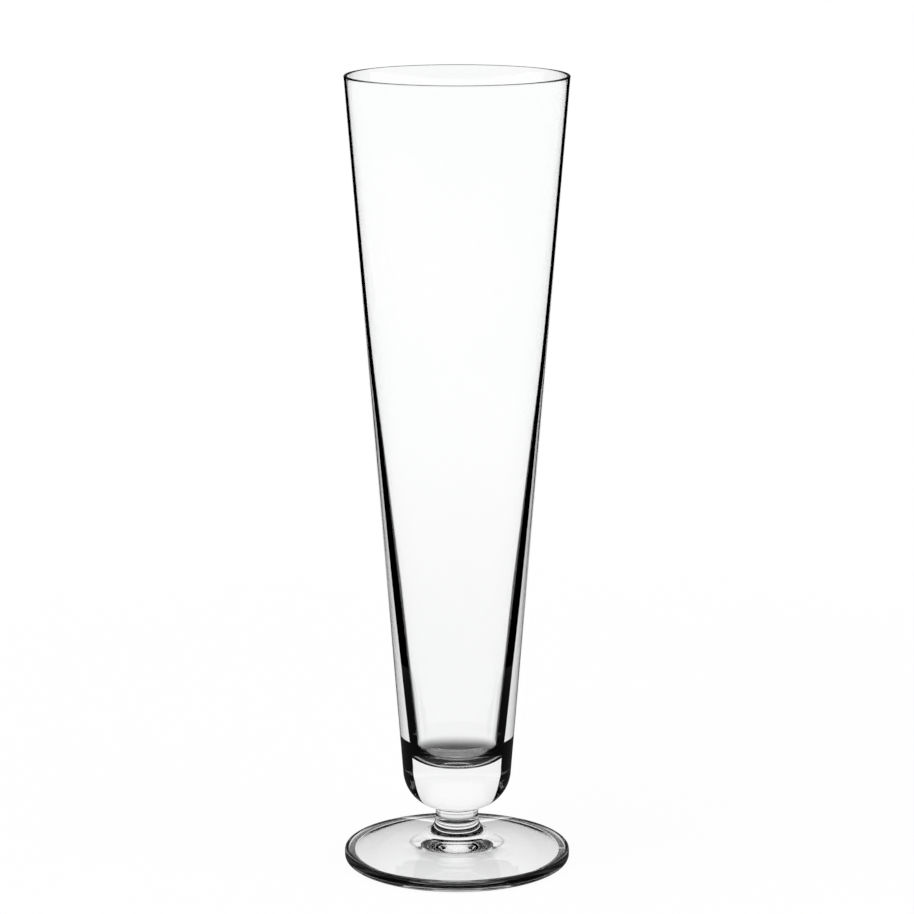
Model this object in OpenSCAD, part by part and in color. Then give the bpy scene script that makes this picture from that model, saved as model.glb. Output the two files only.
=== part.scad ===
// Footed pilsner glass: a tall tapered bowl on a solid knop, a short stem and a round foot.
// Every piece is a solid of revolution about Z. The origin is the centre of the foot's underside.
// The pieces meet face to face at flat round faces, where the hot glass is fused.

/* [Bowl] */
// Height of the bowl from the joint under it to the rim
bowl_h = 225.2; // [190:0.1:260]
// Outer radius at the rim
rim_r = 35.4; // [32:0.1:40]
// Wall at the rim and down the thin upper part
rim_wall = 1.12; // [0.9:0.02:1.6]
// Depth below the rim at which the wall begins to thicken
thin_h = 84; // [60:1:110]
// Half of the height over which the thickening sets in
blend_h = 25; // [5:1:40]
// Thickening of the wall below that, per unit of depth
thicken_share = 0.0325; // [0.02:0.0005:0.036]
// Solid glass between the joint under the bowl and the cavity floor
base_h = 4; // [3:0.1:9]
// Radius of the round corner between the cavity's wall and floor
floor_round = 9; // [4:0.1:11]

/* [Knop] */
// Outer radius of the knop at the joint with the bowl
knop_r = 17.4; // [16:0.1:19]
// Radius of the knop's round underside
knop_round = 12.5; // [11.5:0.1:14]
// Fillet between the knop and the neck under it
knop_fillet = 1; // [0.5:0.1:2]

/* [Stem] */
// Radius of the straight neck
neck_r = 6.9; // [6:0.1:9]
// Length of the straight neck
neck_h = 2.6; // [1:0.1:6]
// Radius of the sweep from the neck to the foot
stem_sweep = 6; // [4:0.1:8]

/* [Foot] */
// Outer radius of the foot
foot_r = 36.4; // [32:0.1:42]
// Thickness of the foot at its border
border_h = 4.3; // [3.5:0.1:6]
// Slope of the foot's top in degrees
top_slope = 10.2; // [6:0.1:14]
// Rounding of the foot's upper edge
upper_round = 1; // [0.5:0.1:1.4]
// Rounding of the foot's lower edge
lower_round = 2; // [1:0.1:2]
// Width of the flat ring that the foot stands on, around the hollow
ring_w = 1.9; // [1:0.1:4]
// Depth of the hollow at its centre
hollow_h = 3.4; // [0.6:0.1:4]

/* [Hidden] */
// Facets of one full turn
$fn = 180;
// Steps along each round stretch
arc_steps = 16;
// Angle down the sweep at which the stem ends and the foot begins
joint_turn = 45;
glass = [0.93, 0.96, 0.97, 0.45];

// Lean of the bowl's outer cone, and of the cavity wall where the glass thickens
cone_lean = atan((rim_r - knop_r) / bowl_h);
floor_lean = atan(tan(cone_lean) + thicken_share);

// Upper edge of the foot, and the sweep's centre above its sloping top
upper_edge_r = foot_r - upper_round;
upper_edge_z = border_h - upper_round * cos(top_slope);
border_r = upper_edge_r + upper_round * sin(top_slope);
sweep_r = neck_r + stem_sweep;
sweep_run = border_r - sweep_r + stem_sweep * sin(top_slope);
sweep_z = border_h + sweep_run * tan(top_slope) + stem_sweep * cos(top_slope);

// Joint faces, from the table up
stem_joint_r = sweep_r - stem_sweep * cos(joint_turn);
stem_joint_z = sweep_z - stem_sweep * sin(joint_turn);
knop_joint_z = sweep_z + neck_h;
knop_centre_r = knop_r - knop_round * cos(cone_lean);
fillet_r = neck_r + knop_fillet;
fillet_reach = knop_round + knop_fillet;
fillet_turn = acos((fillet_r - knop_centre_r) / fillet_reach);
knop_centre_z = knop_joint_z + fillet_reach * sin(fillet_turn);
bowl_joint_z = knop_centre_z - knop_round * sin(cone_lean);

// Lip: a half round that touches the outer cone and the cavity wall
rim_z = bowl_joint_z + bowl_h;
lip_round = rim_wall * cos(cone_lean) / 2;
lip_r = rim_r - lip_round * tan(cone_lean) - lip_round / cos(cone_lean);
lip_z = rim_z - lip_round;

// Cavity floor and the round corner above it
floor_z = bowl_joint_z + base_h;
corner_z = floor_z + floor_round;
corner_end_z = corner_z - floor_round * sin(floor_lean);
corner_r = cavity_r(corner_end_z) - floor_round * cos(floor_lean);

// Radius of the hollow inside the standing ring, and of the sphere that the hollow follows
hollow_r = foot_r - lower_round - ring_w;
hollow_ball = (hollow_r ^ 2 + hollow_h ^ 2) / (2 * hollow_h);

// Points of an arc about [cx, cz] from angle a to angle b, both ends included
function arc(cx, cz, radius, a, b) =
    [for (i = [0:arc_steps]) let (turn = a + (b - a) * i / arc_steps)
        [cx + radius * cos(turn), cz + radius * sin(turn)]];

// Extra wall at a depth past the start of the thickening: none, then a parabola, then a straight taper
function extra_wall(depth) = thicken_share *
    (depth < -blend_h ? 0 : depth > blend_h ? depth : (depth + blend_h) ^ 2 / (4 * blend_h));

// Cavity radius at height z: the outer cone less the wall there
function cavity_r(z) =
    rim_r - (rim_z - z) * tan(cone_lean) - rim_wall - extra_wall(rim_z - z - thin_h);

// Cavity wall down the stretch where the thickening sets in
function cavity_blend() =
    [for (i = [0:arc_steps]) let (z = rim_z - thin_h + blend_h - 2 * blend_h * i / arc_steps)
        [cavity_r(z), z]];

module turned(outline) {
    rotate_extrude() polygon(outline);
}

// Tapered bowl with its cavity, thick base and fire-polished lip
module bowl() {
    color(glass) turned(concat(
        [[0, bowl_joint_z], [knop_r, bowl_joint_z]],
        arc(lip_r, lip_z, lip_round, -cone_lean, 180 - cone_lean),
        cavity_blend(),
        arc(corner_r, corner_z, floor_round, -floor_lean, -90),
        [[0, floor_z]]));
}

// Solid knop: it carries the bowl and narrows through a small fillet to the neck
module knop() {
    color(glass) turned(concat(
        [[0, bowl_joint_z], [0, knop_joint_z]],
        arc(fillet_r, knop_joint_z, knop_fillet, 180, 180 - fillet_turn),
        arc(knop_centre_r, knop_centre_z, knop_round, -fillet_turn, -cone_lean)));
}

// Short stem: the straight neck and the upper half of the sweep
module stem() {
    color(glass) turned(concat(
        [[0, knop_joint_z], [0, stem_joint_z]],
        arc(sweep_r, sweep_z, stem_sweep, 180 + joint_turn, 180),
        [[neck_r, knop_joint_z]]));
}

// Round foot: the lower half of the sweep, a sloping top, a round edge and a hollow underside
module foot() {
    color(glass) turned(concat(
        [[0, stem_joint_z]],
        arc(0, hollow_h - hollow_ball, hollow_ball, 90, acos(hollow_r / hollow_ball)),
        arc(foot_r - lower_round, lower_round, lower_round, -90, 0),
        arc(upper_edge_r, upper_edge_z, upper_round, 0, 90 - top_slope),
        arc(sweep_r, sweep_z, stem_sweep, 270 - top_slope, 180 + joint_turn)));
}

bowl();
knop();
stem();
foot();
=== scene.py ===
"""Footed pilsner glass in clear glass: its pieces, their finishes, the camera and a plain studio set.

Lengths are in metres, Z is up and the origin is the centre of the foot's underside, as in the CAD model.
Every piece is a surface of revolution: an outline in the half plane of radius and height, turned about Z.
"""
import logging
import math
from collections.abc import Sequence
from dataclasses import dataclass, field
from enum import Enum

import bpy
import numpy as np
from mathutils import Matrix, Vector


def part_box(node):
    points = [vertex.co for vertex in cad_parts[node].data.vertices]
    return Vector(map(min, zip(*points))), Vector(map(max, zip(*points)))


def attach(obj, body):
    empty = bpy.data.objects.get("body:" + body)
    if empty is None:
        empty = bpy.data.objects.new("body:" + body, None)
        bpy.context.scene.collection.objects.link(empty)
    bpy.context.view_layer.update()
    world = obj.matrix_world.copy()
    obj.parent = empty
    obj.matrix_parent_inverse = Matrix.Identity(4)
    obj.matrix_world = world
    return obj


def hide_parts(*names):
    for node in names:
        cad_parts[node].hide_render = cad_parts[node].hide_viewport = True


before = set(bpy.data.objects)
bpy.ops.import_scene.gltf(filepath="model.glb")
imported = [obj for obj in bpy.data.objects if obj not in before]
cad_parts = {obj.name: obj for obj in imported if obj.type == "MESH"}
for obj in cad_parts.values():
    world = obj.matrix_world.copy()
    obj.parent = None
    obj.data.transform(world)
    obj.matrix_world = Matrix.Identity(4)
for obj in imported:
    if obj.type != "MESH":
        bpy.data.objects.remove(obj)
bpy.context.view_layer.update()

LOG = logging.getLogger("pilsner_glass")
BODY = "root"
# Points of a piece's full turn
AROUND = 256
# Longest stretch of an outline between two rings of points
LONGEST_STEP = 0.003
# Side of the photograph in pixels
PHOTO_SIDE = 914
# Millimetres in a metre, for the log
MM = 1000.0
WHITE = (1.0, 1.0, 1.0, 1.0)
BLACK = (0.0, 0.0, 0.0, 1.0)

Colour = tuple[float, float, float]
Socket = bpy.types.NodeSocket
Tree = bpy.types.NodeTree


# Outlines


def arc(centre_r: float, centre_z: float, radius: float, start: float, end: float, steps: int) -> np.ndarray:
    """Points of an arc: the centre plus the radius times the cosine and sine of evenly spaced angles.

    Args:
        centre_r: Radius at which the arc's centre lies.
        centre_z: Height of the arc's centre.
        radius: Radius of the arc itself.
        start: First angle in degrees, from the outward direction towards up.
        end: Last angle in degrees.
        steps: Number of steps between the two.

    Returns:
        Rows of radius and height, both ends included.
    """
    turn = np.radians(np.linspace(start, end, steps + 1))
    return np.column_stack((centre_r + radius * np.cos(turn), centre_z + radius * np.sin(turn)))


def full_turn(count: int) -> tuple[np.ndarray, np.ndarray, np.ndarray]:
    """Evenly spaced points of a circle.

    Args:
        count: How many points there are.

    Returns:
        Each point's angle, its number and the number of the point after it.
    """
    here = np.arange(count)
    return here * (2 * math.pi / count), here, np.roll(here, -1)


def filled(outline: np.ndarray) -> np.ndarray:
    """Adds points along the long straight stretches of an outline.

    Each point's run is its distance along the outline. New runs are whole multiples of LONGEST_STEP that
    lie further than a quarter step from every run there is, and radius and height are read off in
    proportion between the old points.

    Args:
        outline: Rows of radius and height.

    Returns:
        The same outline with the added rows.
    """
    run = np.concatenate(([0.0], np.cumsum(np.hypot(*np.diff(outline, axis=0).T))))
    extra = np.arange(LONGEST_STEP, run[-1], LONGEST_STEP)
    apart = np.abs(extra[:, None] - run[None, :]).min(axis=1)
    runs = np.sort(np.concatenate((run, extra[apart > LONGEST_STEP / 4])))
    return np.column_stack([np.interp(runs, run, outline[:, k]) for k in (0, 1)])


def turned_mesh(name: str, outline: np.ndarray, fused_first: bool, fused_last: bool) -> bpy.types.Mesh:
    """Turns an outline about Z into a closed mesh.

    A point of the grid is (radius cos a, radius sin a, height), where a is the angle round the axis. The
    outline's two ends lie on the axis and become the poles of two fans. A fused end is a flat disc that
    another piece continues: it has no rings inside its edge, the second material and a sharp edge.

    Args:
        name: The mesh's name.
        outline: Rows of radius and height, from the lower pole round the outside to the upper pole.
        fused_first: True if the first end is a fused joint.
        fused_last: True if the last end is a fused joint.

    Returns:
        The mesh, with its normals outwards.
    """
    body = filled(outline[(1 if fused_first else 0): (-1 if fused_last else None)])
    rings = body[(0 if fused_first else 1): (None if fused_last else -1)]
    angle, here, after = full_turn(AROUND)
    radius, height = rings[:, :1], rings[:, 1:]
    grid = np.stack(
        (radius * np.cos(angle), radius * np.sin(angle), height + 0 * angle), axis=-1).reshape(-1, 3)
    low, high = len(grid), len(grid) + 1
    points = np.vstack((grid, [(0, 0, outline[0, 1]), (0, 0, outline[-1, 1])]))
    row = np.arange(len(rings) - 1)[:, None] * AROUND
    quads = np.stack(
        np.broadcast_arrays(row + here, row + after, row + AROUND + after, row + AROUND + here),
        axis=-1).reshape(-1, 4)
    top = (len(rings) - 1) * AROUND
    first_fan = np.column_stack((np.full(AROUND, low), after, here))
    last_fan = np.column_stack((np.full(AROUND, high), top + here, top + after))
    mesh = bpy.data.meshes.new(name)
    mesh.from_pydata(points.tolist(), [], quads.tolist() + first_fan.tolist() + last_fan.tolist())
    mesh.update(calc_edges=True)
    joint = np.concatenate((
        np.zeros(len(quads), int), np.full(AROUND, int(fused_first)), np.full(AROUND, int(fused_last))))
    mesh.polygons.foreach_set("use_smooth", joint == 0)
    mesh.polygons.foreach_set("material_index", joint)
    edges = np.empty(2 * len(mesh.edges), int)
    mesh.edges.foreach_get("vertices", edges)
    edges = edges.reshape(-1, 2)
    sharp = (edges.max(axis=1) < AROUND) & fused_first
    sharp |= (edges.min(axis=1) >= top) & (edges.max(axis=1) < top + AROUND) & fused_last
    mesh.attributes.new("sharp_edge", "BOOLEAN", "EDGE").data.foreach_set("value", sharp)
    mesh.validate()
    return mesh


# Node helpers and shared effects


def join(tree: Tree, value: object, socket: Socket) -> None:
    """Links value to socket where it is a socket, and else sets it there."""
    if isinstance(value, bpy.types.NodeSocket):
        tree.links.new(value, socket)
    else:
        socket.default_value = value


def maths(tree: Tree, how: str, *values: object, clamp: bool = False) -> Socket:
    """Adds a Math node.

    Args:
        tree: The node tree.
        how: The node's operation.
        values: Its inputs, as sockets or numbers.
        clamp: True if the result is kept between 0 and 1.

    Returns:
        The node's output.
    """
    node = tree.nodes.new("ShaderNodeMath")
    node.operation, node.use_clamp = how, clamp
    for value, socket in zip(values, node.inputs):
        join(tree, value, socket)
    return node.outputs[0]


def ramp(tree: Tree, value: Socket, low: float, high: float, at_low: object, at_high: object) -> Socket:
    """A smooth step from at_low, where value is low or under, to at_high, where it is high or over."""
    node = tree.nodes.new("ShaderNodeMapRange")
    node.interpolation_type = "SMOOTHSTEP"
    for item, socket in zip((value, low, high, at_low, at_high), node.inputs):
        join(tree, item, socket)
    return node.outputs[0]


def noise(tree: Tree, where: Socket, scale: Socket, detail: float, roughness: float) -> Socket:
    """A 3-D noise's value at a place, between 0 and 1 around one half."""
    node = tree.nodes.new("ShaderNodeTexNoise")
    join(tree, where, node.inputs["Vector"])
    join(tree, scale, node.inputs["Scale"])
    node.inputs["Detail"].default_value = detail
    node.inputs["Roughness"].default_value = roughness
    return node.outputs["Fac"]


@dataclass
class EffectGroup:
    """A shader node group with named inputs and outputs, made once and placed in many materials.

    Attributes:
        name: The group's name.
        inputs: Name, socket type and first value of each input. A value of None leaves the socket's own.
        outputs: Name and socket type of each output.
        tree: The group's tree.
        given: The node in it that gives the inputs.
        sent: The node in it that takes the outputs.
    """

    name: str
    inputs: tuple[tuple[str, str, object], ...]
    outputs: tuple[tuple[str, str], ...]
    tree: Tree = field(init=False)
    given: bpy.types.Node = field(init=False)
    sent: bpy.types.Node = field(init=False)

    def __post_init__(self) -> None:
        """Makes the tree and its sockets."""
        self.tree = bpy.data.node_groups.new(self.name, "ShaderNodeTree")
        for name, kind, value in self.inputs:
            socket = self.tree.interface.new_socket(name=name, in_out="INPUT", socket_type=kind)
            if value is not None:
                socket.default_value = value
        for name, kind in self.outputs:
            self.tree.interface.new_socket(name=name, in_out="OUTPUT", socket_type=kind)
        self.given = self.tree.nodes.new("NodeGroupInput")
        self.sent = self.tree.nodes.new("NodeGroupOutput")

    def place(self, tree: Tree, **values: object) -> bpy.types.Node:
        """Places the group in a material.

        Args:
            tree: The material's tree.
            values: Input values or sockets, by name with _ for a space.

        Returns:
            The group's node.
        """
        node = tree.nodes.new("ShaderNodeGroup")
        node.node_tree = self.tree
        for name, value in values.items():
            join(tree, value, node.inputs[name.replace("_", " ")])
        return node


VECTOR, FLOAT, COLOUR = "NodeSocketVector", "NodeSocketFloat", "NodeSocketColor"


class GlassEffects:
    """The effects that the glass finishes share. The wear of the table is on the foot alone."""

    def __init__(self) -> None:
        """Makes the groups."""
        self.melt_tint = self._melt_tint()
        self.fire_polish = self._fire_polish()
        self.handling = self._handling()
        self.table_wear = self._table_wear()

    @staticmethod
    def _melt_tint() -> EffectGroup:
        """Colour of the melt: slow noise mixes the clear and the deep tint."""
        group = EffectGroup(
            "melt_tint",
            (("Place", VECTOR, None), ("Clear Tint", COLOUR, WHITE), ("Deep Tint", COLOUR, WHITE),
             ("Scale", FLOAT, 20.0)),
            (("Tint", COLOUR),))
        tree, given = group.tree, group.given
        cords = noise(tree, given.outputs["Place"], given.outputs["Scale"], detail=2.0, roughness=0.4)
        share = ramp(tree, cords, low=0.35, high=0.65, at_low=0.0, at_high=1.0)
        mix = tree.nodes.new("ShaderNodeMix")
        mix.data_type = "RGBA"
        join(tree, share, mix.inputs["Factor"])
        join(tree, given.outputs["Clear Tint"], mix.inputs["A"])
        join(tree, given.outputs["Deep Tint"], mix.inputs["B"])
        join(tree, mix.outputs["Result"], group.sent.inputs["Tint"])
        return group

    @staticmethod
    def _fire_polish() -> EffectGroup:
        """Faint waves that fire polish leaves: broad noise plus a share times finer noise."""
        group = EffectGroup(
            "fire_polish",
            (("Place", VECTOR, None), ("Broad Scale", FLOAT, 30.0), ("Fine Scale", FLOAT, 120.0),
             ("Fine Share", FLOAT, 0.2)),
            (("Height", FLOAT),))
        tree, given = group.tree, group.given
        broad = noise(tree, given.outputs["Place"], given.outputs["Broad Scale"], detail=1.0, roughness=0.4)
        fine = noise(tree, given.outputs["Place"], given.outputs["Fine Scale"], detail=1.0, roughness=0.4)
        height = maths(tree, "ADD", broad, maths(tree, "MULTIPLY", fine, given.outputs["Fine Share"]))
        join(tree, height, group.sent.inputs["Height"])
        return group

    @staticmethod
    def _handling() -> EffectGroup:
        """Faint marks of handling: the roughness rises from clean to marked where noise is high."""
        group = EffectGroup(
            "handling_marks",
            (("Place", VECTOR, None), ("Scale", FLOAT, 60.0), ("Clean Roughness", FLOAT, 0.0),
             ("Marked Roughness", FLOAT, 0.01)),
            (("Roughness", FLOAT),))
        tree, given = group.tree, group.given
        marks = noise(tree, given.outputs["Place"], given.outputs["Scale"], detail=4.0, roughness=0.6)
        rough = ramp(tree, marks, low=0.56, high=0.72, at_low=given.outputs["Clean Roughness"],
                     at_high=given.outputs["Marked Roughness"])
        join(tree, rough, group.sent.inputs["Roughness"])
        return group

    @staticmethod
    def _table_wear() -> EffectGroup:
        """Fine scratches that a table wears into the standing ring: under a height, noise adds roughness."""
        group = EffectGroup(
            "table_wear",
            (("Place", VECTOR, None), ("Roughness", FLOAT, 0.0), ("Worn Roughness", FLOAT, 0.2),
             ("Worn Height", FLOAT, 0.0002), ("Scratch Scale", FLOAT, 900.0)),
            (("Roughness", FLOAT),))
        tree, given = group.tree, group.given
        split = tree.nodes.new("ShaderNodeSeparateXYZ")
        join(tree, given.outputs["Place"], split.inputs[0])
        low = maths(tree, "LESS_THAN", split.outputs["Z"], given.outputs["Worn Height"])
        lines = noise(tree, given.outputs["Place"], given.outputs["Scratch Scale"], detail=2.0, roughness=0.6)
        scratches = ramp(tree, lines, low=0.45, high=0.6, at_low=0.0, at_high=1.0)
        worn = maths(tree, "MULTIPLY", low, scratches)
        added = maths(tree, "MULTIPLY", worn, given.outputs["Worn Roughness"])
        join(tree, maths(tree, "ADD", given.outputs["Roughness"], added), group.sent.inputs["Roughness"])
        return group


# Finishes


@dataclass(frozen=True)
class ClearGlass:
    """Clear fire-polished glass.

    Attributes:
        name: The material's name.
        clear_tint: Colour of most of the glass.
        deep_tint: Colour of its faint cords.
        tint_scale: Noise cells of the cords in a metre.
        index: Index of refraction.
        broad_scale: Noise cells of the broad waves in a metre.
        fine_scale: Noise cells of the fine waves in a metre.
        fine_share: Height of the fine waves as a share of the broad ones.
        wave_depth: Height of the waves.
        wave_strength: How far the waves bend the normal, from 0 to 1.
        mark_scale: Noise cells of the handling marks in a metre.
        marked_roughness: Roughness where the marks are strongest.
        worn_roughness: Roughness that the table adds to the standing ring.
    """

    name: str
    clear_tint: Colour = (0.996, 0.998, 0.997)
    deep_tint: Colour = (0.985, 0.992, 0.989)
    tint_scale: float = 14.0
    index: float = 1.52
    broad_scale: float = 26.0
    fine_scale: float = 90.0
    fine_share: float = 0.15
    wave_depth: float = 0.00002
    wave_strength: float = 0.05
    mark_scale: float = 45.0
    marked_roughness: float = 0.006
    worn_roughness: float = 0.0

    def material(self, effects: GlassEffects) -> bpy.types.Material:
        """Makes the material.

        Args:
            effects: The shared node groups.

        Returns:
            The material.
        """
        made = bpy.data.materials.new(self.name)
        made.use_nodes = True
        tree = made.node_tree
        shader = tree.nodes["Principled BSDF"]
        place = tree.nodes.new("ShaderNodeTexCoord").outputs["Object"]
        tint = effects.melt_tint.place(
            tree, Place=place, Clear_Tint=(*self.clear_tint, 1.0), Deep_Tint=(*self.deep_tint, 1.0),
            Scale=self.tint_scale)
        marks = effects.handling.place(
            tree, Place=place, Scale=self.mark_scale, Clean_Roughness=0.0,
            Marked_Roughness=self.marked_roughness)
        rough = marks.outputs["Roughness"]
        if self.worn_roughness > 0:
            worn = effects.table_wear.place(
                tree, Place=place, Roughness=rough, Worn_Roughness=self.worn_roughness)
            rough = worn.outputs["Roughness"]
        waves = effects.fire_polish.place(
            tree, Place=place, Broad_Scale=self.broad_scale, Fine_Scale=self.fine_scale,
            Fine_Share=self.fine_share)
        bump = tree.nodes.new("ShaderNodeBump")
        bump.inputs["Strength"].default_value = self.wave_strength
        bump.inputs["Distance"].default_value = self.wave_depth
        join(tree, waves.outputs["Height"], bump.inputs["Height"])
        join(tree, tint.outputs["Tint"], shader.inputs["Base Color"])
        join(tree, rough, shader.inputs["Roughness"])
        join(tree, bump.outputs["Normal"], shader.inputs["Normal"])
        shader.inputs["IOR"].default_value = self.index
        shader.inputs["Transmission Weight"].default_value = 1.0
        return made


@dataclass(frozen=True)
class FusedJoint:
    """A face at which two pieces were fused hot: it shows nothing and light passes straight through."""

    name: str = "fused_joint"

    def material(self) -> bpy.types.Material:
        """Makes the material, with an Alpha of 0."""
        made = bpy.data.materials.new(self.name)
        made.use_nodes = True
        made.node_tree.nodes["Principled BSDF"].inputs["Alpha"].default_value = 0.0
        return made


# Pieces, from the table up


@dataclass
class TurnedPiece:
    """A piece of glass turned about Z.

    Attributes:
        node: The CAD node that the piece stands for.
        fused_first: True if the lower end is a fused joint.
        fused_last: True if the upper end is a fused joint.
        finish: The piece's glass.
        piece: The object, once it is built.
    """

    node: str = ""
    fused_first: bool = False
    fused_last: bool = False
    finish: ClearGlass = ClearGlass("clear_glass")
    piece: bpy.types.Object | None = None

    def outline(self) -> np.ndarray:
        """Rows of radius and height, from the lower pole to the upper pole."""
        raise NotImplementedError

    def build(self) -> None:
        """Makes the piece's mesh and object, and says what it rides on and stands for."""
        name = f"{self.node}_glass"
        outline = self.outline()
        self.piece = bpy.data.objects.new(
            name, turned_mesh(name, outline, self.fused_first, self.fused_last))
        bpy.context.scene.collection.objects.link(self.piece)
        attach(self.piece, BODY)
        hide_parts(self.node)
        low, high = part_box(self.node)
        LOG.info("%s: %d faces, %.2f mm wide and %.2f to %.2f mm high; its node %.2f and %.2f to %.2f",
                 name, len(self.piece.data.polygons), outline[:, 0].max() * 2 * MM,
                 outline[:, 1].min() * MM, outline[:, 1].max() * MM,
                 (high[0] - low[0]) * MM, low[2] * MM, high[2] * MM)

    def dress(self, effects: GlassEffects, joint: bpy.types.Material) -> None:
        """Gives the piece its glass and the see-through face of its fused joints.

        Args:
            effects: The shared node groups.
            joint: The material of the fused joints.
        """
        self.piece.data.materials.append(self.finish.material(effects))
        self.piece.data.materials.append(joint)


@dataclass
class Foot(TurnedPiece):
    """Round foot: a hollow underside, a standing ring, a round edge, a sloping top and half the sweep.

    Its slope and the sweep's turn are in degrees.
    """

    node: str = "foot"
    fused_last: bool = True
    finish: ClearGlass = ClearGlass("foot_clear_glass", worn_roughness=0.12)
    radius: float = 0.0364
    border_height: float = 0.0043
    top_slope: float = 10.2
    upper_round: float = 0.001
    lower_round: float = 0.002
    ring_width: float = 0.0019
    hollow_depth: float = 0.0034
    neck_radius: float = 0.0069
    sweep: float = 0.006
    joint_turn: float = 45.0
    hollow_steps: int = 64
    edge_steps: int = 24
    sweep_steps: int = 48

    @property
    def sweep_centre(self) -> tuple[float, float]:
        """Radius and height of the sweep's centre: the sweep touches the sloping top and the neck."""
        slope = math.radians(self.top_slope)
        border = self.radius - self.upper_round + self.upper_round * math.sin(slope)
        centre_r = self.neck_radius + self.sweep
        run = border - centre_r + self.sweep * math.sin(slope)
        return centre_r, self.border_height + run * math.tan(slope) + self.sweep * math.cos(slope)

    @property
    def joint(self) -> tuple[float, float]:
        """Radius and height of the joint with the stem, part of the way round the sweep."""
        (centre_r, centre_z), turn = self.sweep_centre, math.radians(self.joint_turn)
        return centre_r - self.sweep * math.cos(turn), centre_z - self.sweep * math.sin(turn)

    def outline(self) -> np.ndarray:
        """The hollow's arc, the lower and upper edge's rounds, the top's straight slope and the sweep."""
        slope = self.top_slope
        hollow_r = self.radius - self.lower_round - self.ring_width
        ball = (hollow_r ** 2 + self.hollow_depth ** 2) / (2 * self.hollow_depth)
        reach = math.degrees(math.acos(hollow_r / ball))
        centre_r, centre_z = self.sweep_centre
        return np.vstack((
            arc(0, self.hollow_depth - ball, ball, 90, reach, self.hollow_steps),
            arc(self.radius - self.lower_round, self.lower_round, self.lower_round, -90, 0, self.edge_steps),
            arc(self.radius - self.upper_round,
                self.border_height - self.upper_round * math.cos(math.radians(slope)),
                self.upper_round, 0, 90 - slope, self.edge_steps),
            arc(centre_r, centre_z, self.sweep, 270 - slope, 180 + self.joint_turn, self.sweep_steps),
            [(0, self.joint[1])]))


@dataclass
class Stem(TurnedPiece):
    """Short stem: the upper half of the sweep and the straight neck."""

    node: str = "stem"
    fused_first: bool = True
    fused_last: bool = True
    finish: ClearGlass = ClearGlass("stem_clear_glass")
    foot: Foot = field(default_factory=Foot)
    neck_length: float = 0.0026
    sweep_steps: int = 48

    @property
    def top(self) -> float:
        """Height of the joint with the knop."""
        return self.foot.sweep_centre[1] + self.neck_length

    def outline(self) -> np.ndarray:
        """The sweep's arc from the foot's joint to the upright, then the straight neck."""
        foot = self.foot
        centre_r, centre_z = foot.sweep_centre
        return np.vstack((
            [(0, foot.joint[1])],
            arc(centre_r, centre_z, foot.sweep, 180 + foot.joint_turn, 180, self.sweep_steps),
            [(foot.neck_radius, self.top), (0, self.top)]))


@dataclass
class Knop(TurnedPiece):
    """Solid knop: a small fillet up from the neck and a round underside that carries the bowl."""

    node: str = "knop"
    fused_first: bool = True
    fused_last: bool = True
    finish: ClearGlass = ClearGlass("knop_clear_glass")
    stem: Stem = field(default_factory=Stem)
    radius: float = 0.0174
    underside: float = 0.0125
    fillet: float = 0.001
    cone_lean: float = 0.0
    fillet_steps: int = 24
    round_steps: int = 96

    @property
    def centre_radius(self) -> float:
        """Radius of the round underside's centre: the underside ends in line with the bowl's cone."""
        return self.radius - self.underside * math.cos(self.cone_lean)

    @property
    def fillet_turn(self) -> float:
        """Angle at which the fillet meets the round underside, in radians."""
        across = self.stem.foot.neck_radius + self.fillet - self.centre_radius
        return math.acos(across / (self.underside + self.fillet))

    @property
    def centre(self) -> tuple[float, float]:
        """Radius and height of the round underside's centre, with the fillet touching the underside."""
        rise = (self.underside + self.fillet) * math.sin(self.fillet_turn)
        return self.centre_radius, self.stem.top + rise

    @property
    def top(self) -> float:
        """Height of the joint with the bowl."""
        return self.centre[1] - self.underside * math.sin(self.cone_lean)

    def outline(self) -> np.ndarray:
        """The fillet's arc outwards and the round underside's arc up to the joint with the bowl.

        The fillet's last point is left out, because the underside's arc starts there.
        """
        turn, lean = math.degrees(self.fillet_turn), math.degrees(self.cone_lean)
        neck = self.stem.foot.neck_radius + self.fillet
        return np.vstack((
            [(0, self.stem.top)],
            arc(neck, self.stem.top, self.fillet, 180, 180 - turn, self.fillet_steps)[:-1],
            arc(*self.centre, self.underside, -turn, -lean, self.round_steps),
            [(0, self.top)]))


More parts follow.
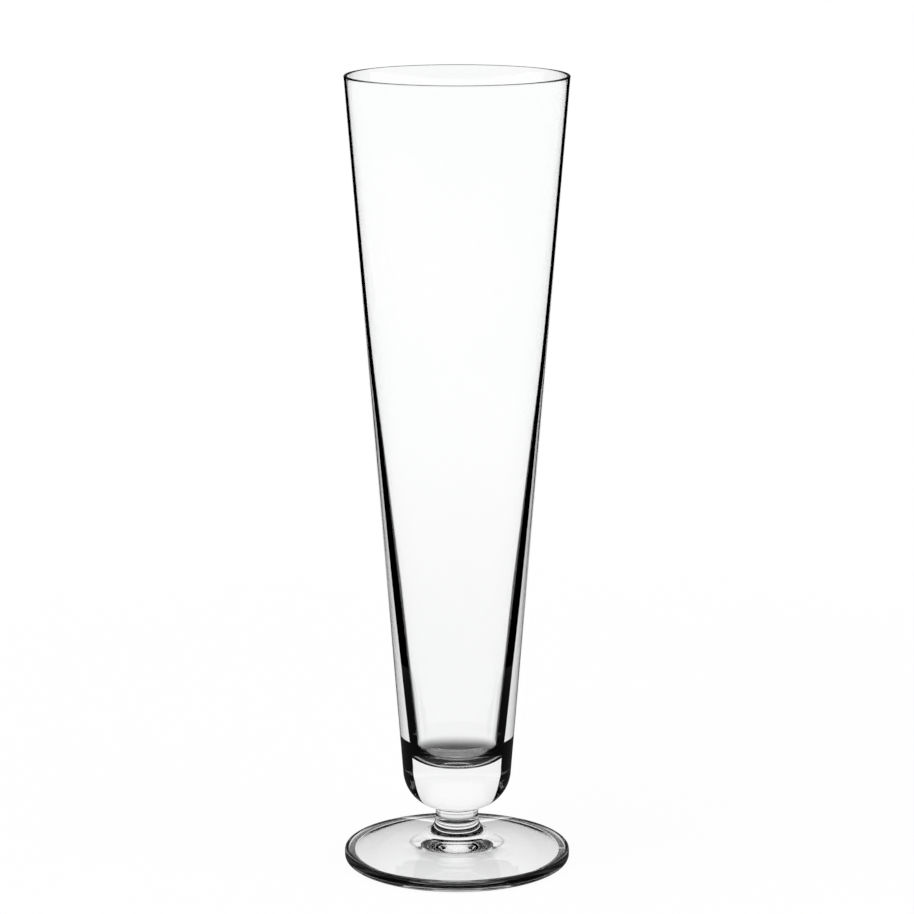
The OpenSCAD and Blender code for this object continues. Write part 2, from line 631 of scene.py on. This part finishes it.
@dataclass
class Bowl(TurnedPiece):
    """Tall tapered bowl: a straight outer cone, a round lip and a cavity whose wall thickens downwards."""

    node: str = "bowl"
    fused_first: bool = True
    finish: ClearGlass = ClearGlass("bowl_clear_glass")
    knop: Knop = field(default_factory=Knop)
    height: float = 0.2252
    rim_radius: float = 0.0354
    rim_wall: float = 0.00112
    thin_depth: float = 0.084
    blend_depth: float = 0.025
    thicken_share: float = 0.0325
    base_height: float = 0.004
    floor_round: float = 0.009
    lip_steps: int = 24
    blend_steps: int = 32
    corner_steps: int = 48

    def __post_init__(self) -> None:
        """Gives the knop the lean of the bowl's outer cone, because the two meet in one line."""
        self.knop.cone_lean = math.atan((self.rim_radius - self.knop.radius) / self.height)

    @property
    def rim(self) -> float:
        """Height of the rim."""
        return self.knop.top + self.height

    def cavity_radius(self, height: np.ndarray) -> np.ndarray:
        """Radius of the cavity: the outer cone less the wall.

        The wall is the rim's wall plus thicken_share times a depth that is none above the blend, a
        parabola through it and the depth past its middle below it.

        Args:
            height: Heights above the table.

        Returns:
            The cavity's radius at each.
        """
        depth, blend = self.rim - height - self.thin_depth, self.blend_depth
        parabola = (depth + blend) ** 2 / (4 * blend)
        past = np.where(depth < -blend, 0, np.where(depth > blend, depth, parabola))
        cone = self.rim_radius - (self.rim - height) * math.tan(self.knop.cone_lean)
        return cone - self.rim_wall - self.thicken_share * past

    def outline(self) -> np.ndarray:
        """The outer cone, the lip's half round, the cavity's wall, its round corner and its flat floor."""
        lean = self.knop.cone_lean
        degrees = math.degrees(lean)
        lip = self.rim_wall * math.cos(lean) / 2
        lip_r = self.rim_radius - lip * math.tan(lean) - lip / math.cos(lean)
        middle = self.rim - self.thin_depth
        heights = np.linspace(middle + self.blend_depth, middle - self.blend_depth, self.blend_steps + 1)
        floor_lean = math.atan(math.tan(lean) + self.thicken_share)
        floor = self.knop.top + self.base_height
        corner_end = floor + self.floor_round * (1 - math.sin(floor_lean))
        corner_r = float(self.cavity_radius(np.array(corner_end))) - self.floor_round * math.cos(floor_lean)
        return np.vstack((
            [(0, self.knop.top), (self.knop.radius, self.knop.top)],
            arc(lip_r, self.rim - lip, lip, -degrees, 180 - degrees, self.lip_steps),
            np.column_stack((self.cavity_radius(heights), heights)),
            arc(corner_r, floor + self.floor_round, self.floor_round, -math.degrees(floor_lean), -90,
                self.corner_steps),
            [(0, floor)]))


# Camera and studio


@dataclass
class PhotoCamera:
    """Camera at the photograph's viewing angle: a long lens in front, looking slightly down.

    Attributes:
        distance: Distance from the glass's axis.
        height: Height over the table.
        down: Degrees by which it looks down.
        focal_pixels: Focal length as a length in the photograph, in pixels.
        sensor: Width of the sensor in millimetres.
        nearest: Distance at which the view begins.
        farthest: Distance at which the view ends.
    """

    distance: float = 1.096
    height: float = 0.3581
    down: float = 11.6
    focal_pixels: float = 3521.0
    sensor: float = 36.0
    nearest: float = 0.01
    farthest: float = 50.0

    def build(self) -> bpy.types.Object:
        """Makes the camera and gives it to the scene.

        Returns:
            The camera's object.
        """
        lens = bpy.data.cameras.new("photo_camera")
        lens.sensor_fit, lens.sensor_width = "HORIZONTAL", self.sensor
        lens.lens = self.sensor * self.focal_pixels / PHOTO_SIDE
        lens.clip_start, lens.clip_end = self.nearest, self.farthest
        camera = bpy.data.objects.new("photo_camera", lens)
        camera.location = (0, -self.distance, self.height)
        camera.rotation_euler = (math.radians(90 - self.down), 0, 0)
        bpy.context.scene.collection.objects.link(camera)
        bpy.context.scene.camera = camera
        return camera


class Paths(Enum):
    """Light paths, told apart by the glass faces that they crossed and that reflected them.

    A value gives the fewest and the most faces crossed, and the fewest and the most reflections. A most
    of None sets no limit.
    """

    OUTER_SHEEN = (0, 0, 1, None)
    THROUGH_SOLID = (0, 3, 0, 0)
    THROUGH_HOLLOW = (4, None, 0, 0)
    MIRRORED_IN_HOLLOW = (4, None, 1, None)
    MIRRORED_IN_SOLID = (1, 3, 1, None)
    TWICE_MIRRORED = (1, None, 2, None)
    THRICE_MIRRORED = (1, None, 3, None)
    ROUND_THE_BORDER = (1, None, 4, None)

    def mask(self, tree: Tree, path: bpy.types.Node) -> Socket:
        """1 for these paths and 0 for the others: the product of one comparison per limit.

        Args:
            tree: The node tree.
            path: The tree's Light Path node.

        Returns:
            The mask.
        """
        crossed, reflected = path.outputs["Transmission Depth"], path.outputs["Glossy Depth"]
        tests = []
        for count, fewest, most in ((crossed, *self.value[:2]), (reflected, *self.value[2:])):
            if fewest > 0:
                tests.append(maths(tree, "GREATER_THAN", count, fewest - 0.5))
            if most is not None:
                tests.append(maths(tree, "LESS_THAN", count, most + 0.5))
        mask = tests[0]
        for test in tests[1:]:
            mask = maths(tree, "MULTIPLY", mask, test)
        return mask


# Painted shade: a side card draws dark lines into what the glass shows, for its light paths only
@dataclass(frozen=True)
class SideCard:
    """Black card that stands upright at each side of the glass, for some light paths only.

    Attributes:
        name: The card's name.
        paths: The light paths that see it.
        side: Its distance from the glass's axis.
        outline: Rows of depth, away from the camera, and height.
    """

    name: str
    paths: Paths
    side: float
    outline: tuple[tuple[float, float], ...]


# Painted shade: a round card draws dark lines into what the glass shows, for its light paths only
@dataclass(frozen=True)
class RoundCard:
    """Black band that stands round the glass, for some light paths only.

    Attributes:
        name: The band's name.
        paths: The light paths that see it.
        radius: Its radius.
        low: Height of its lower edge.
        high: Height of its upper edge.
    """

    name: str
    paths: Paths
    radius: float
    low: float
    high: float


@dataclass(frozen=True)
class Lamp:
    """Square soft lamp that points at the foot of the glass.

    Attributes:
        name: The lamp's name.
        watts: Its power.
        side: Side of its square.
        place: Where it hangs.
    """

    name: str
    watts: float
    side: float
    place: tuple[float, float, float]


# Painted shade in the glass: each card is black only to its light paths, hidden from the camera and the
# floor's
# light. In order: for light that goes straight through solid glass, for light that also crosses the cavity,
# for the same light mirrored on its way, for light mirrored inside a wall or the knop, and for the outside's
# sheen, where the card is a painted dark reflection
SIDE_CARDS = (
    SideCard("solid_card", Paths.THROUGH_SOLID, 0.060,
             ((-0.06, -0.05), (0.085, -0.05), (0.085, 0.3), (-0.06, 0.3))),
    SideCard("hollow_card", Paths.THROUGH_HOLLOW, 0.062,
             ((-0.02, -0.05), (0.064, -0.05), (0.064, 0.035), (0.085, 0.06), (0.085, 0.12), (0.08, 0.17),
              (0.057, 0.2), (0.057, 0.3), (-0.02, 0.3))),
    SideCard("hollow_mirrored_card", Paths.MIRRORED_IN_HOLLOW, 0.0625,
             ((0.03, -0.05), (0.064, -0.05), (0.064, 0.035), (0.03, 0.035))),
    SideCard("mirrored_card", Paths.MIRRORED_IN_SOLID, 0.063,
             ((0.0, -0.05), (0.077, -0.05), (0.077, 0.03), (0.087, 0.055), (0.09, 0.107), (0.098, 0.122),
              (0.13, 0.13), (0.14, 0.16), (0.3, 0.2), (0.4, 0.3), (0.046, 0.3), (0.047, 0.19),
              (0.0475, 0.158), (0.0395, 0.135), (0.03, 0.115), (0.0235, 0.095), (0.015, 0.072),
              (0.0125, 0.044), (0.0, 0.036))),
    SideCard("sheen_card", Paths.OUTER_SHEEN, 0.061,
             ((-0.008, 0.05), (0.075, 0.05), (0.12, 0.135), (0.12, 0.3), (0.044, 0.3), (0.04, 0.2),
              (0.03, 0.155), (0.017, 0.135), (0.001, 0.086))),
)
# The first two darken the foot's border, and the others the knop's sides and the bowl's dark lines: painted
# shade that only their light paths through the glass see
ROUND_CARDS = (
    RoundCard("border_collar", Paths.ROUND_THE_BORDER, 0.0445, 0.0, 0.035),
    RoundCard("line_collar", Paths.THRICE_MIRRORED, 0.038, 0.0015, 0.003),
    RoundCard("knop_collar", Paths.MIRRORED_IN_SOLID, 0.021, 0.019, 0.0365),
    RoundCard("bowl_collar", Paths.TWICE_MIRRORED, 0.05, 0.02, 0.05),
    RoundCard("bowl_sleeve", Paths.TWICE_MIRRORED, 0.066, 0.05, 0.14),
)
LAMPS = (Lamp("key", 9.0, 1.2, (-0.7, -0.5, 1.4)), Lamp("fill", 3.0, 1.0, (0.9, -0.4, 1.1)))


@dataclass
class Studio:
    """A plain pale floor, a white room, soft lamps and black cards that draw the glass's dark lines.

    Levels and shares run from 0 to 1. The cards, the floor's dark levels for glass and the backdrop are
    painted shade and painted reflections that only the glass shows.

    Attributes:
        floor_half: Half of the floor's side.
        floor_white: Colour of the floor's lit share.
        shadow_near: Distance from the axis up to which the floor has its full lit share.
        shadow_far: Distance at which the lit share ends.
        shadow_share: Lit share of the floor as the camera sees it.
        through_share: Lit share of the floor as the glass shows it.
        level_ray: Cosine of a ray's angle with the upright, up to which glass shows a white floor.
        steep_ray: Cosine from which glass shows the floor at steep_level.
        steep_level: The floor's level for steep rays, painted shade that only the glass shows.
        ring_inner: Inner radius of the dark ring under the foot's border, painted shade that only rays
            mirrored inside solid glass see.
        ring_outer: Outer radius of that ring.
        ring_level: The ring's level.
        sheen_level: Level of the near floor and of the backdrop's lower part in the outer sheen, a painted
            dark reflection.
        sheen_near: Distance up to which the outer sheen shows the floor at sheen_level.
        sheen_far: Distance from which it shows a white floor.
        near_floor: Distance past which rays mirrored twice find the floor black, as painted shade.
        backdrop_radius: Radius of the backdrop.
        backdrop_dark: Height up to which the backdrop is at sheen_level, a painted dark reflection in the
            outer sheen.
        backdrop_white: Height of the backdrop, where it has become white.
        world_level: Level of the white room as light.
        sides: Sides of a round card.
        bounces: How often light is followed through glass or mirrored in it.
        clear_bounces: How many clear cards and fused joints light is followed through.
    """

    floor_half: float = 6.0
    floor_white: float = 0.9
    shadow_near: float = 0.25
    shadow_far: float = 0.6
    shadow_share: float = 0.06
    through_share: float = 0.1
    level_ray: float = 0.45
    steep_ray: float = 0.72
    steep_level: float = 0.03
    ring_inner: float = 0.026
    ring_outer: float = 0.060
    ring_level: float = 0.03
    sheen_level: float = 0.05
    sheen_near: float = 0.15
    sheen_far: float = 0.5
    near_floor: float = 0.12
    backdrop_radius: float = 3.0
    backdrop_dark: float = 1.2
    backdrop_white: float = 2.8
    world_level: float = 0.7
    sides: int = 96
    bounces: int = 12
    clear_bounces: int = 64

    @staticmethod
    def _stage_object(name: str, points: Sequence, faces: Sequence,
                      material: bpy.types.Material) -> bpy.types.Object:
        """Makes a set object: a mesh with one material, linked to the scene and not hung on the glass's body.

        Args:
            name: The object's name.
            points: Its points.
            faces: Its faces, as rows of point numbers.
            material: Its material.

        Returns:
            The object.
        """
        mesh = bpy.data.meshes.new(name)
        mesh.from_pydata(points, [], faces)
        mesh.materials.append(material)
        made = bpy.data.objects.new(name, mesh)
        bpy.context.scene.collection.objects.link(made)
        return made

    def _band(self, name: str, radius: float, low: float, high: float,
              material: bpy.types.Material) -> None:
        """Makes an upright band round Z, which only glass sees.

        Args:
            name: The object's name.
            radius: The band's radius.
            low: Height of its lower edge.
            high: Height of its upper edge.
            material: Its material.
        """
        count = self.sides
        angle, here, after = full_turn(count)
        ring = np.column_stack((np.cos(angle), np.sin(angle))) * radius
        points = np.vstack([np.column_stack((ring, np.full(count, z))) for z in (low, high)])
        faces = np.column_stack((here, after, count + after, count + here))
        self._only_for_glass(self._stage_object(name, points.tolist(), faces.tolist(), material))

    @staticmethod
    def _blank(name: str) -> tuple[bpy.types.Material, Tree, bpy.types.Node]:
        """A material with an empty tree, the tree, and its output node."""
        made = bpy.data.materials.new(name)
        made.use_nodes = True
        made.node_tree.nodes.clear()
        return made, made.node_tree, made.node_tree.nodes.new("ShaderNodeOutputMaterial")

    @staticmethod
    def _glow(tree: Tree, colour: tuple[float, float, float, float], level: object = 1.0) -> Socket:
        """An emission of a colour times a level, which is a number or a socket."""
        glow = tree.nodes.new("ShaderNodeEmission")
        glow.inputs["Color"].default_value = colour
        join(tree, level, glow.inputs["Strength"])
        return glow.outputs[0]

    @staticmethod
    def _show_mix(tree: Tree, out: bpy.types.Node, share: Socket, first: Socket, second: Socket) -> None:
        """Shows one less the share of the first shader plus the share of the second."""
        mix = tree.nodes.new("ShaderNodeMixShader")
        for value, socket in zip((share, first, second), mix.inputs):
            join(tree, value, socket)
        join(tree, mix.outputs[0], out.inputs["Surface"])

    def _show_for(self, tree: Tree, out: bpy.types.Node, paths: Paths, shader: Socket) -> None:
        """Shows a shader to some light paths and lets the others pass.

        Args:
            tree: The material's tree.
            out: Its output node.
            paths: The paths that see the shader.
            shader: The shader's output.
        """
        clear = tree.nodes.new("ShaderNodeBsdfTransparent").outputs[0]
        mask = paths.mask(tree, tree.nodes.new("ShaderNodeLightPath"))
        self._show_mix(tree, out, mask, clear, shader)

    @staticmethod
    def _seen_in_glass(tree: Tree, path: bpy.types.Node) -> Socket:
        """1 for a ray that comes from glass, through it or mirrored, and 0 for the others."""
        return maths(tree, "MAXIMUM", path.outputs["Is Glossy Ray"], path.outputs["Is Transmission Ray"])

    @staticmethod
    def _dimmed(tree: Tree, mask: Socket, level: float) -> Socket:
        """1 where the mask is 0, and level where it is 1."""
        return maths(tree, "SUBTRACT", 1.0, maths(tree, "MULTIPLY", mask, 1.0 - level))

    @staticmethod
    def _only_for_glass(card: bpy.types.Object) -> None:
        """Keeps a card out of the camera's sight and out of the floor's light."""
        card.visible_camera = card.visible_diffuse = card.visible_shadow = False

    def _floor_level(self, tree: Tree, path: bpy.types.Node, radius: Socket) -> Socket:
        """How bright glass shows the floor: the product of four levels.

        It is painted shade that only the glass shows, while the camera sees it white: it is dark for rays
        that meet it steeply, for rays mirrored inside solid glass that land on a ring under the foot's
        border, for rays mirrored twice that land far out, and near the glass for the outer sheen, a painted
        dark reflection. Facing, at a Blend of one half, is one less the cosine of a ray's angle with the
        upright, so that one less Facing is that cosine.

        Args:
            tree: The floor's tree.
            path: Its Light Path node.
            radius: Distance from the axis.

        Returns:
            The level, which is 1 for the camera.
        """
        weight = tree.nodes.new("ShaderNodeLayerWeight")
        weight.inputs["Blend"].default_value = 0.5
        upright = maths(tree, "SUBTRACT", 1.0, weight.outputs["Facing"])
        steep = ramp(tree, upright, self.level_ray, self.steep_ray, 1.0, self.steep_level)
        steep = maths(tree, "MAXIMUM", steep, path.outputs["Is Camera Ray"])
        ring = maths(tree, "MULTIPLY", maths(tree, "GREATER_THAN", radius, self.ring_inner),
                     maths(tree, "LESS_THAN", radius, self.ring_outer))
        far = maths(tree, "GREATER_THAN", radius, self.near_floor)
        near = ramp(tree, radius, self.sheen_near, self.sheen_far, 1.0, 0.0)
        level = steep
        for where, paths, dark in ((ring, Paths.MIRRORED_IN_SOLID, self.ring_level),
                                   (far, Paths.TWICE_MIRRORED, 0.0),
                                   (near, Paths.OUTER_SHEEN, self.sheen_level)):
            mask = maths(tree, "MULTIPLY", where, paths.mask(tree, path))
            level = maths(tree, "MULTIPLY", level, self._dimmed(tree, mask, dark))
        return level

    def floor(self) -> None:
        """White floor. A share of it is lit by the lamps, so that it keeps the glass's shadow.

        The lit share is shadow_share for the camera and through_share times the floor's level for glass,
        both fading out with the distance from the axis, and 1 for light that spreads from other surfaces.
        """
        made, tree, out = self._blank("pale_floor")
        path = tree.nodes.new("ShaderNodeLightPath")
        span = tree.nodes.new("ShaderNodeVectorMath")
        span.operation = "LENGTH"
        join(tree, tree.nodes.new("ShaderNodeTexCoord").outputs["Object"], span.inputs[0])
        radius = span.outputs["Value"]
        # Painted shade: this level darkens only what the glass shows of the floor, and the camera sees the
        # full white glow
        level = self._floor_level(tree, path, radius)
        matt = tree.nodes.new("ShaderNodeBsdfDiffuse")
        matt.inputs["Color"].default_value = (self.floor_white, self.floor_white, self.floor_white, 1.0)
        camera, glass = path.outputs["Is Camera Ray"], self._seen_in_glass(tree, path)
        near = ramp(tree, radius, self.shadow_near, self.shadow_far, 1.0, 0.0)
        through = maths(tree, "MULTIPLY", maths(tree, "MULTIPLY", glass, level), self.through_share)
        share = maths(tree, "ADD", through, maths(tree, "MULTIPLY", camera, self.shadow_share))
        share = maths(tree, "MULTIPLY", share, near)
        spread = maths(tree, "SUBTRACT", 1.0, maths(tree, "MAXIMUM", glass, camera))
        share = maths(tree, "ADD", share, spread, clamp=True)
        self._show_mix(tree, out, share, self._glow(tree, WHITE, level), matt.outputs[0])
        half = self.floor_half
        corners = [(-half, -half, 0), (half, -half, 0), (half, half, 0), (-half, half, 0)]
        self._stage_object("floor", corners, [(0, 1, 2, 3)], made)

    def _card_material(self, name: str, paths: Paths) -> bpy.types.Material:
        """Black for the paths that see the card, and clear for the others.

        Args:
            name: The material's name.
            paths: The paths that see it.

        Returns:
            The material.
        """
        made, tree, out = self._blank(name)
        self._show_for(tree, out, paths, self._glow(tree, BLACK))
        return made

    def cards(self, camera: bpy.types.Object) -> None:
        """Upright cards at both sides of the glass, which stay with the camera, and bands round it.

        Args:
            camera: The camera that carries the side cards.
        """
        bpy.context.view_layer.update()
        for card in SIDE_CARDS:
            material = self._card_material(card.name, card.paths)
            for side, where in ((-1, "left"), (1, "right")):
                points = [(side * card.side, depth, height) for depth, height in card.outline]
                faces = [tuple(range(len(points)))]
                made = self._stage_object(f"{card.name}_{where}", points, faces, material)
                self._only_for_glass(made)
                made.parent = camera
                made.matrix_parent_inverse = camera.matrix_world.inverted()
        for card in ROUND_CARDS:
            material = self._card_material(card.name, card.paths)
            self._band(card.name, card.radius, card.low, card.high, material)

    def backdrop(self) -> None:
        """A band far out that the outer sheen alone sees: dark low down, then paler up to white."""
        # Painted reflection: a band that only the glass's outer sheen sees, dark low down
        made, tree, out = self._blank("backdrop")
        split = tree.nodes.new("ShaderNodeSeparateXYZ")
        join(tree, tree.nodes.new("ShaderNodeTexCoord").outputs["Object"], split.inputs[0])
        level = ramp(tree, split.outputs["Z"], self.backdrop_dark, self.backdrop_white, self.sheen_level, 1.0)
        self._show_for(tree, out, Paths.OUTER_SHEEN, self._glow(tree, WHITE, level))
        self._band("backdrop", self.backdrop_radius, 0.0, self.backdrop_white, made)

    @staticmethod
    def lamps() -> None:
        """Two large soft lamps, which light the floor and leave no mirrored shape in the glass."""
        for lamp in LAMPS:
            light = bpy.data.lights.new(lamp.name, "AREA")
            light.energy, light.size = lamp.watts, lamp.side
            shown = bpy.data.objects.new(lamp.name, light)
            shown.location = lamp.place
            shown.rotation_euler = (-Vector(lamp.place)).to_track_quat("-Z", "Y").to_euler()
            shown.visible_glossy = shown.visible_transmission = False
            bpy.context.scene.collection.objects.link(shown)

    def world(self) -> None:
        """White where the camera or the glass sees it, and a plain level as light."""
        world = bpy.data.worlds.new("white_room")
        bpy.context.scene.world = world
        world.use_nodes = True
        tree = world.node_tree
        path = tree.nodes.new("ShaderNodeLightPath")
        seen = maths(tree, "MAXIMUM", path.outputs["Is Camera Ray"], self._seen_in_glass(tree, path))
        background = tree.nodes["Background"]
        background.inputs["Color"].default_value = WHITE
        join(tree, ramp(tree, seen, 0.0, 1.0, self.world_level, 1.0), background.inputs["Strength"])

    def build(self, camera: bpy.types.Object) -> None:
        """Makes the whole set.

        Args:
            camera: The camera that carries the side cards.
        """
        self.floor()
        self.cards(camera)
        self.backdrop()
        self.lamps()
        self.world()
        scene = bpy.context.scene
        scene.view_settings.view_transform = "Standard"
        cycles = scene.cycles
        cycles.max_bounces = cycles.transmission_bounces = cycles.glossy_bounces = self.bounces
        cycles.transparent_max_bounces = self.clear_bounces
        LOG.info("studio: floor, cards, backdrop, lamps and world")


def main() -> None:
    """Builds the camera, the four pieces, their finishes and the studio."""
    logging.basicConfig(level=logging.INFO, format="%(message)s")
    camera = PhotoCamera().build()
    effects, joint = GlassEffects(), FusedJoint().material()
    foot = Foot()
    stem = Stem(foot=foot)
    knop = Knop(stem=stem)
    bowl = Bowl(knop=knop)
    for piece in (foot, stem, knop, bowl):
        piece.build()
        piece.dress(effects, joint)
    Studio().build(camera)


if __name__ == "__main__":
    main()
